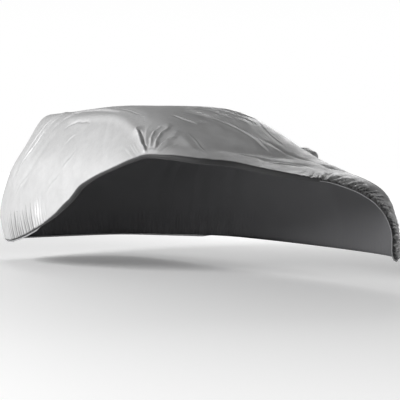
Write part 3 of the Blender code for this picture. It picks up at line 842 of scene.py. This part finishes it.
def row_stops(first, last, spacing, columns, seam_at_start):
    """Rows of a grid so that places lie about one spacing apart, closer at the seam row."""
    columns = np.array(columns, float)
    ends = [smooth_place(columns, np.full(len(columns), float(r)))
            for r in np.linspace(first, last, 30)]
    length = sum(np.linalg.norm(b - a, axis=1) for a, b in zip(ends, ends[1:])).max()
    number = max(2, round(length / spacing))
    stops = np.linspace(first, last, number + 1)
    per_metre = (last - first) / length
    near, way = (first, 1) if seam_at_start else (last, -1)
    stops = stops[abs(stops - near) > SEAM_ROOM * per_metre]
    beside = near + way * per_metre * np.array([0.0, *SEAM_STOPS])
    return sorted(set(np.round(np.concatenate([stops, beside]), 6)))


def add_patch(work, columns, rows):
    """Adds a flat grid whose corners are at the given column and row numbers."""
    across, down = len(columns) - 1, len(rows) - 1
    made = bmesh.ops.create_grid(work, x_segments=across, y_segments=down, size=1.0)
    for vert in made["verts"]:
        i = round((vert.co.x + 1) / 2 * across)
        j = round((vert.co.y + 1) / 2 * down)
        vert.co = (columns[i], rows[j], 0.0)


def split_where(work, longest, wanted, across=False):
    """Splits the flat grid's edges that are too long once draped, where wanted; across keeps
    it to those along the hem."""
    edges = work.edges[:]
    ends = np.array([(*edge.verts[0].co.xy, *edge.verts[1].co.xy) for edge in edges])
    ends[:, 1::2] = np.minimum(ends[:, 1::2], HEM_ROW)
    first, second = smooth_place(*ends[:, :2].T), smooth_place(*ends[:, 2:].T)
    long = np.linalg.norm(second - first, axis=1) > longest
    if across:
        long &= abs(ends[:, 0] - ends[:, 2]) > 1e-6
    long = np.flatnonzero(long)
    chosen = long[wanted((first[long] + second[long]) / 2)]
    bmesh.ops.subdivide_edges(work, edges=[edges[i] for i in chosen], cuts=1,
                              use_grid_fill=True)


def split_folds(work, longest, reach):
    """Splits the longer edges within a reach of the fine folds, in half widths of each, and
    round the tall broad folds. Only distances count, so any normal does."""
    def wanted(place):
        found = np.zeros(len(place), bool)
        for fold in FOLDS:
            line = fold_line(fold.places)
            here = near_line(line, place, reach * fold.half_width)
            right, _ = beside_line(line, place[here], place[here])
            found[here] |= abs(right) < reach * fold.half_width
        for swell in SWELLS:
            if swell.height > TALL_SWELL:
                line = fold_line(swell.places)
                here = near_line(line, place, TALL_BOX * swell.half_width)
                right, _ = beside_line(line, place[here], place[here])
                found[here] |= abs(right) < TALL_REACH
        return found

    split_where(work, longest, wanted)


def split_gathers(work, split, sizes):
    """Splits the longer edges within a reach of the gathered hem."""
    reach = split.reach * getattr(sizes, split.gather + "_reach")

    def wanted(place):
        hem_column, _, above = beside_hem(place)
        return (hem_reading(split.gather, hem_column) > LEAST_GATHER) & (above < reach)

    split_where(work, split.longest, wanted, split.across)


def flat_panel(panel, sizes):
    """The flat grid of one panel, finer along its folds, with the same stops at every seam."""
    seams = (-TAIL_SEAM, -FRONT_SEAM, FRONT_SEAM, TAIL_SEAM, ALL_COLUMNS - TAIL_SEAM)
    columns = column_stops(panel.first, panel.last, SKIRT_ROWS, sizes.mesh, seams)
    rows = row_stops(SEAM_ROW, HEM_ROW, sizes.mesh, SKIRT_COLUMNS, True)
    rows += [HEM_ROW + (step + 1) / ROLL_STEPS for step in range(ROLL_STEPS)]
    work = bmesh.new()
    if panel.name == "centre_panel":
        deck = [column for column in columns if abs(column) <= FRONT_SEAM]
        # the top runs all the way round the spine, with a third of the stops past the deck
        side = [column for column in columns if FRONT_SEAM < column < COLUMNS]
        side = side[2::3] + [float(COLUMNS)]
        around = [-column for column in reversed(side)] + deck + side
        add_patch(work, around, row_stops(0, SEAM_ROW, sizes.mesh, TOP_COLUMNS, False))
        columns = deck
    add_patch(work, columns, rows)
    bmesh.ops.remove_doubles(work, verts=work.verts[:], dist=MERGE / 2)
    for longest, reach in FOLD_SPLITS:
        split_folds(work, longest, reach)
    for split in GATHER_SPLITS:
        split_gathers(work, split, sizes)
    return work


# --------------------------------------------------------------------------------- meshes

def read_grid(name, work):
    """New mesh of a flat grid, with its places' column and row numbers."""
    mesh = bpy.data.meshes.new(name)
    work.to_mesh(mesh)
    work.free()
    flat = np.empty(3 * len(mesh.vertices), np.float32)
    mesh.vertices.foreach_get("co", flat)
    column, row, _ = flat.reshape(-1, 3).astype(float).T
    return mesh, column, row


def shape_mesh(mesh, place, cloth):
    """Moves a mesh's places, and gives it its map of the flat cloth."""
    mesh.vertices.foreach_set("co", place.astype(np.float32).ravel())
    corners = np.empty(len(mesh.loops), np.int32)
    mesh.loops.foreach_get("vertex_index", corners)
    layer = mesh.uv_layers.new(name="cloth")
    layer.data.foreach_set("uv", cloth[corners].astype(np.float32).ravel())
    mesh.shade_smooth()


def panel_mesh(panel, sizes):
    """Drapes a panel, and gives it its cloth map and the masks that its cloth reads."""
    mesh, column, row = read_grid(panel.name, flat_panel(panel, sizes))
    place, above, gap, painted_shade = drape(column, row, sizes)
    # groove holds the painted shade of troughs and grooves; above_hem places the rolled edge's
    # painted shade
    for field, values in (("above_hem", above), ("seam_gap", gap), ("groove", painted_shade)):
        layer = mesh.attributes.new(field, "FLOAT", "POINT")
        layer.data.foreach_set("value", values.astype(np.float32))
    shape_mesh(mesh, place, cloth_map(panel.name, column, row, place))
    closed = bmesh.new()
    closed.from_mesh(mesh)
    bmesh.ops.remove_doubles(closed, verts=closed.verts[:], dist=MERGE)
    closed.to_mesh(mesh)
    closed.free()
    return mesh


def casing_mesh(casing, sizes):
    """Puckered tape along the underside of the rolled hem, with its map."""
    work = bmesh.new()
    columns = column_stops(casing.first, casing.last, (HEM_ROW,), TAPE_STEP, ())
    add_patch(work, columns, np.linspace(0, 1, TAPE_ROWS + 1))
    mesh, column, share = read_grid(casing.name, work)
    hem_row = np.full(len(column), float(HEM_ROW))
    radius = hem_reading("roll", signed(column))
    run = np.interp(signed(column), *HEM_RUNS)
    run = np.where(column > COLUMNS, run + HEM_RUNS[1][-1] - HEM_RUNS[1][0], run)
    wave, _, _ = gather_wave(run, TAPE_PITCH, PUCKERS)
    pucker = TAPE_PUCKER * wave * (0.4 + 0.6 * share)
    ends = np.minimum(column - casing.first, casing.last - column)
    ends = np.clip(ends / TAPE_ENDS, 0, 1)
    out = radius * (0.6 + 0.4 * ends) + TAPE_GAP
    out += (sizes.elastic_height + TAPE_WAVE * wave) * share * ends
    face = sizes.elastic_thickness / 2 - radius + pucker
    place = (smooth_place(column, hem_row) + out[:, None] * hem_onward(column)
             + face[:, None] * smooth_normal(column, hem_row))
    shape_mesh(mesh, place, np.stack([run, sizes.elastic_height * share], axis=1))
    return mesh


# ------------------------------------------------------------------------------ materials

def new_group(name, inputs, outputs):
    """Empty shader node group with its sockets, and its two end nodes."""
    group = bpy.data.node_groups.new(name, "ShaderNodeTree")
    for socket, kind, value in inputs:
        made = group.interface.new_socket(socket, in_out="INPUT", socket_type=kind)
        made.default_value = value
    for socket, kind in outputs:
        group.interface.new_socket(socket, in_out="OUTPUT", socket_type=kind)
    return group, group.nodes.new("NodeGroupInput"), group.nodes.new("NodeGroupOutput")


def add_node(tree, kind, settings=None, **inputs):
    """New node, with its settings, and its inputs set or linked by name."""
    node = tree.nodes.new(kind)
    for field, value in (settings or {}).items():
        setattr(node, field, value)
    for socket, value in inputs.items():
        target = node.inputs[int(socket[1:])] if socket[1:].isdigit() else node.inputs[socket]
        if isinstance(value, bpy.types.NodeSocket):
            tree.links.new(value, target)
        else:
            target.default_value = value
    return node


def math(tree, operation, *values):
    """Output of a Math node over values or sockets."""
    sockets = {f"i{number}": value for number, value in enumerate(values)}
    return add_node(tree, "ShaderNodeMath", {"operation": operation}, **sockets).outputs[0]


def ramp(tree, value, low, high, start=0.0, end=1.0):
    """Value between low and high as a smooth share from start to end."""
    node = add_node(tree, "ShaderNodeMapRange", {"interpolation_type": "SMOOTHSTEP"},
                    i0=value, i1=low, i2=high, i3=start, i4=end)
    return node.outputs[0]


def mix(tree, share, first, second):
    """Colour between two colours."""
    node = add_node(tree, "ShaderNodeMix", {"data_type": "RGBA"})
    for socket, value in ((0, share), (6, first), (7, second)):
        if isinstance(value, bpy.types.NodeSocket):
            tree.links.new(value, node.inputs[socket])
        else:
            node.inputs[socket].default_value = value
    return node.outputs[2]


def shaded(colour, share):
    """A colour with a share of its light."""
    return tuple(share * part for part in colour[:3]) + (1.0,)


def grey(level):
    """A grey colour."""
    return (level, level, level, 1.0)


def weave_group():
    """Plain weave on the cloth map: how high the threads stand."""
    group, start, end = new_group(
        "plain weave", [("Pitch", "NodeSocketFloat", 0.0016)], [("Height", "NodeSocketFloat")])
    map_node = add_node(group, "ShaderNodeUVMap", {"uv_map": "cloth"})
    split = add_node(group, "ShaderNodeSeparateXYZ", i0=map_node.outputs[0])
    waves = []
    for axis in (0, 1):
        number = math(group, "DIVIDE", split.outputs[axis], start.outputs["Pitch"])
        waves.append(math(group, "SINE", math(group, "MULTIPLY", number, 2 * pi)))
    height = math(group, "MULTIPLY", waves[0], waves[1])
    group.links.new(height, end.inputs["Height"])
    return group


def handling_group():
    """Soft packing creases and uneven gloss of coated cloth that has been folded."""
    group, start, end = new_group(
        "handling", [("Size", "NodeSocketFloat", 9.0)],
        [("Mottle", "NodeSocketFloat"), ("Crumple", "NodeSocketFloat")])
    place = add_node(group, "ShaderNodeTexCoord").outputs["Object"]
    mottle = add_node(group, "ShaderNodeTexNoise", Vector=place, Scale=start.outputs["Size"],
                      Detail=3.0, Roughness=0.55)
    fine = math(group, "MULTIPLY", start.outputs["Size"], 2.6)
    crumple = add_node(group, "ShaderNodeTexNoise", Vector=place, Scale=fine, Detail=4.0,
                       Roughness=0.5, Distortion=0.6)
    group.links.new(mottle.outputs["Fac"], end.inputs["Mottle"])
    group.links.new(crumple.outputs["Fac"], end.inputs["Crumple"])
    return group


def new_material(name):
    """Material with a Principled shader; returns it, its tree and the shader."""
    made = bpy.data.materials.new(name)
    made.use_nodes = True
    return made, made.node_tree, made.node_tree.nodes["Principled BSDF"]


def add_bump(tree, shader, heights):
    """Chain of Bump nodes on the shader's normal: (height, strength, distance) each."""
    normal = None
    for height, strength, distance in heights:
        node = add_node(tree, "ShaderNodeBump", Height=height, Strength=strength,
                        Distance=distance)
        if normal:
            tree.links.new(normal, node.inputs["Normal"])
        normal = node.outputs[0]
    tree.links.new(normal, shader.inputs["Normal"])


def cloth_material(colours, weave, handling):
    """Silver coated cloth, with a rolled edge darkened as painted shade, stitched seams, and
    painted shade in the troughs and grooves.
    """
    made, tree, shader = new_material("silver coated cloth")
    above, gap, groove = (
        add_node(tree, "ShaderNodeAttribute", {"attribute_name": name}).outputs["Fac"]
        for name in ("above_hem", "seam_gap", "groove"))
    threads = add_node(tree, "ShaderNodeGroup", {"node_tree": weave}, Pitch=0.0016)
    worn = add_node(tree, "ShaderNodeGroup", {"node_tree": handling}, Size=7.0)
    base = mix(tree, ramp(tree, worn.outputs["Mottle"], low=0.35, high=0.65),
               shaded(colours.cloth, 0.94), tuple(colours.cloth))
    stitches = ramp(tree, gap, low=0.0, high=0.004, start=0.14, end=0.0)
    # painted shade in the fold troughs and gather grooves, standing for the shade that falls in
    # them
    shade = ramp(tree, groove, low=0.04, high=0.50, start=0.0, end=0.68)
    # painted shade: the rolled edge goes dark where it turns under, standing for the shade
    # beneath it
    edge = ramp(tree, above, low=-0.008, high=0.008, start=1.0, end=0.0)
    for mask in (stitches, shade, edge):
        base = mix(tree, mask, base, tuple(colours.hem))
    tree.links.new(base, shader.inputs["Base Color"])
    tree.links.new(ramp(tree, worn.outputs["Mottle"], low=0.3, high=0.7, start=0.52, end=0.44),
                   shader.inputs["Roughness"])
    tree.links.new(math(tree, "MULTIPLY", math(tree, "SUBTRACT", 1.0, edge), 0.40),
                   shader.inputs["Metallic"])
    shader.inputs["Specular IOR Level"].default_value = 0.3
    shader.inputs["Specular Tint"].default_value = grey(0.4)
    add_bump(tree, shader, [(threads.outputs["Height"], 0.25, 0.0003),
                            (worn.outputs["Crumple"], 0.35, 0.003)])
    return made


def backing_material(colours, weave):
    """Matt inner face of the cloth."""
    made, tree, shader = new_material("cloth backing")
    threads = add_node(tree, "ShaderNodeGroup", {"node_tree": weave}, Pitch=0.0022)
    threads_up = ramp(tree, threads.outputs["Height"], low=-1.0, high=1.0)
    base = mix(tree, threads_up, shaded(colours.backing, 0.8), tuple(colours.backing))
    tree.links.new(base, shader.inputs["Base Color"])
    shader.inputs["Roughness"].default_value = 0.8
    add_bump(tree, shader, [(threads.outputs["Height"], 0.3, 0.0004)])
    return made


def elastic_material(colours, weave):
    """Pale ribbed elastic casing."""
    made, tree, shader = new_material("ribbed elastic")
    threads = add_node(tree, "ShaderNodeGroup", {"node_tree": weave}, Pitch=0.003)
    threads_up = ramp(tree, threads.outputs["Height"], low=-0.8, high=0.8)
    base = mix(tree, threads_up, shaded(colours.elastic, 0.7), tuple(colours.elastic))
    tree.links.new(base, shader.inputs["Base Color"])
    shader.inputs["Roughness"].default_value = 0.75
    add_bump(tree, shader, [(threads.outputs["Height"], 0.4, 0.0006)])
    return made


def cover_materials(context):
    """The cover's materials by name, made once."""
    found = {name: bpy.data.materials.get(name) for name in
             ("silver coated cloth", "cloth backing", "ribbed elastic")}
    if not all(found.values()):
        colours = context.scene.cover_colours
        weave = weave_group()
        found = {made.name: made for made in (
            cloth_material(colours, weave, handling_group()),
            backing_material(colours, weave), elastic_material(colours, weave))}
    return found


# -------------------------------------------------------------------------------- pieces

def add_piece(context, name, node, mesh, looks, thickness):
    """Puts a sheet in the scene as a piece that stands for a CAD node and rides on the cover.
    Its thickness is inside it, and its inner face has the last of its looks."""
    for look in looks:
        mesh.materials.append(look)
    piece = bpy.data.objects.new(name, mesh)
    context.scene.collection.objects.link(piece)
    solid = piece.modifiers.new("thickness", "SOLIDIFY")
    solid.thickness = thickness
    solid.offset = -1.0
    solid.material_offset = solid.material_offset_rim = len(looks) - 1
    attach(piece, "root")
    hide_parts(node)


class COVER_OT_panels(bpy.types.Operator):
    """Drape the four cloth panels over the key lines"""
    bl_idname = "cover.panels"
    bl_label = "Cloth panels"
    bl_options = {"REGISTER", "UNDO"}

    def execute(self, context):
        sizes = context.scene.cover_sizes
        found = cover_materials(context)
        looks = (found["silver coated cloth"], found["cloth backing"])
        for panel in PANELS:
            add_piece(context, panel.name + "_cloth", panel.name, panel_mesh(panel, sizes),
                      looks, sizes.cloth)
        return {"FINISHED"}


class COVER_OT_elastic(bpy.types.Operator):
    """Sew the elastic casings under the gathered hems"""
    bl_idname = "cover.elastic"
    bl_label = "Elastic casings"
    bl_options = {"REGISTER", "UNDO"}

    def execute(self, context):
        sizes = context.scene.cover_sizes
        looks = (cover_materials(context)["ribbed elastic"],)
        for casing in CASINGS:
            add_piece(context, casing.name + "_casing", casing.name, casing_mesh(casing, sizes),
                      looks, sizes.elastic_thickness)
        return {"FINISHED"}


# ---------------------------------------------------------------------------------- stage

def studio_world(scene):
    """Bright sweep behind the cover, under a darker ceiling and in front of a darker room."""
    world = bpy.data.worlds.new("studio")
    world.use_nodes = True
    tree = world.node_tree
    way = add_node(tree, "ShaderNodeTexCoord").outputs["Generated"]
    split = add_node(tree, "ShaderNodeSeparateXYZ", i0=way)
    behind = ramp(tree, split.outputs["Y"], low=-0.7, high=0.5)
    overhead = ramp(tree, split.outputs["Z"], low=0.10, high=0.62)
    light = mix(tree, overhead, mix(tree, behind, grey(0.15), grey(1.0)), grey(0.10))
    tree.links.new(light, tree.nodes["Background"].inputs["Color"])
    tree.nodes["Background"].inputs["Strength"].default_value = 1.0
    scene.world = world


def add_light(scene, light):
    """Square soft light that faces a target and doesn't show itself."""
    data = bpy.data.lights.new(light.name, "AREA")
    data.size = light.size
    data.energy = light.power
    lamp = bpy.data.objects.new(light.name, data)
    lamp.location = light.place
    lamp.visible_camera = False
    way = Vector(light.target) - Vector(light.place)
    lamp.rotation_euler = way.to_track_quat("-Z", "Y").to_euler()
    scene.collection.objects.link(lamp)


def floor_material(colours):
    """Plain pale floor with a painted glow that grows with its distance, dimmer near the cover
    as painted shade.
    """
    made, tree, shader = new_material("studio floor")
    place = add_node(tree, "ShaderNodeTexCoord").outputs["Object"]
    away = add_node(tree, "ShaderNodeVectorMath", {"operation": "LENGTH"}, i0=place)
    # painted light: the floor glows, dim near the cover as painted shade and white further out
    share = ramp(tree, away.outputs["Value"], low=2.0, high=12.0)
    painted_glow = mix(tree, share, grey(0.16), grey(1.0))
    shader.inputs["Base Color"].default_value = tuple(colours.floor)
    shader.inputs["Roughness"].default_value = 0.9
    tree.links.new(painted_glow, shader.inputs["Emission Color"])
    shader.inputs["Emission Strength"].default_value = 1.0
    return made


class COVER_OT_stage(bpy.types.Operator):
    """Add the studio floor, the light and the camera"""
    bl_idname = "cover.stage"
    bl_label = "Stage"
    bl_options = {"REGISTER", "UNDO"}

    def execute(self, context):
        scene = context.scene
        work = bmesh.new()
        bmesh.ops.create_grid(work, x_segments=1, y_segments=1, size=FLOOR_REACH)
        bmesh.ops.translate(work, verts=work.verts[:], vec=(0, 0, GROUND))
        mesh = bpy.data.meshes.new("floor")
        work.to_mesh(mesh)
        work.free()
        mesh.materials.append(floor_material(scene.cover_colours))
        floor = bpy.data.objects.new("floor", mesh)
        scene.collection.objects.link(floor)

        studio_world(scene)
        for light in LIGHTS:
            add_light(scene, light)
        camera = bpy.data.objects.new("camera", bpy.data.cameras.new("camera"))
        camera.location = CAMERA_PLACE
        camera.rotation_euler = Euler(CAMERA_TURN)
        camera.data.sensor_width = SENSOR_WIDTH
        camera.data.lens = FOCAL_LENGTH * SENSOR_WIDTH
        scene.collection.objects.link(camera)
        scene.camera = camera
        scene.view_settings.view_transform = "Standard"
        return {"FINISHED"}


class COVER_PT_sidebar(bpy.types.Panel):
    """Sizes, colours and the steps that make the cover"""
    bl_label = "Cover"
    bl_idname = "COVER_PT_sidebar"
    bl_space_type = "VIEW_3D"
    bl_region_type = "UI"
    bl_category = "Cover"

    def draw(self, context):
        for step in OPERATORS:
            self.layout.operator(step.bl_idname)
        for group in (context.scene.cover_sizes, context.scene.cover_colours):
            box = self.layout.box()
            for field in group.__annotations__:
                box.prop(group, field)


OPERATORS = (COVER_OT_panels, COVER_OT_elastic, COVER_OT_stage)
CLASSES = (CoverSizes, CoverColours, *OPERATORS, COVER_PT_sidebar)


def register():
    for made in CLASSES:
        bpy.utils.register_class(made)
    bpy.types.Scene.cover_sizes = PointerProperty(type=CoverSizes)
    bpy.types.Scene.cover_colours = PointerProperty(type=CoverColours)


def unregister():
    del bpy.types.Scene.cover_sizes, bpy.types.Scene.cover_colours
    for made in reversed(CLASSES):
        bpy.utils.unregister_class(made)


def main():
    register()
    for step in OPERATORS:
        group, name = step.bl_idname.split(".")
        if getattr(getattr(bpy.ops, group), name)() != {"FINISHED"}:
            raise RuntimeError(f"{step.bl_label} did not finish")


if __name__ == "__main__":
    main()
